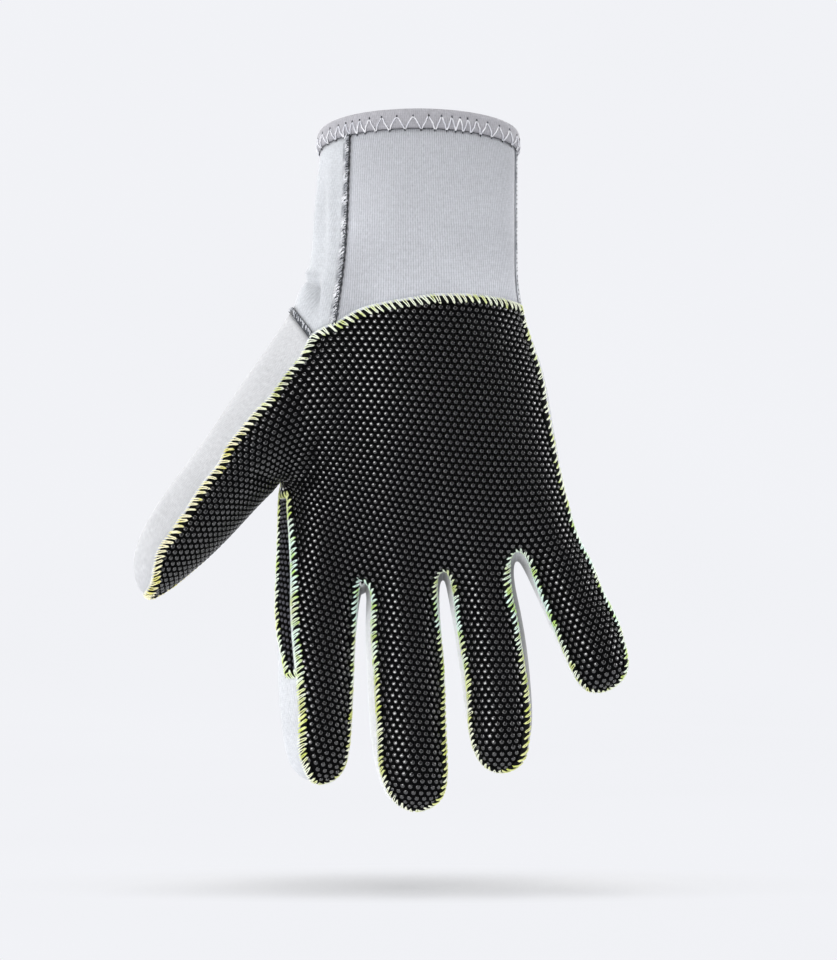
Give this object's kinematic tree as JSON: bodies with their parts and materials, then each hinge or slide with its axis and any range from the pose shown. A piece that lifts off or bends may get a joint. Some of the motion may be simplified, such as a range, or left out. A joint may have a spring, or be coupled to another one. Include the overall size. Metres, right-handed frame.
{
  "type": "neoprene glove",
  "caption": "Five-finger neoprene glove with a dotted rubber palm, grey stretch back and cuff, and overlocked contrast seams, standing as on a hand.",
  "frame": {"origin": "centre of the wrist opening, at the rim of the cuff", "axes": "+Z from the fingertips to the wrist, +Y out of the back of the hand, +X towards the little finger"},
  "size_m": [0.1765, 0.0724, 0.2512],
  "materials": {
    "dotted_rubber": "satin, close raised dots",
    "grey_neoprene": "matt knitted jersey over foam",
    "seam_thread": "overlock thread",
    "dark_thread": "overlock thread",
    "pale_thread": "zigzag thread"
  },
  "bodies": {
    "root": {"palm_panel": "dotted_rubber", "index_gusset": "dotted_rubber", "back_panel": "grey_neoprene", "thumb_panel": "grey_neoprene", "cuff_panel": "grey_neoprene", "hem_band": "grey_neoprene"}
  },
  "joints": []
}
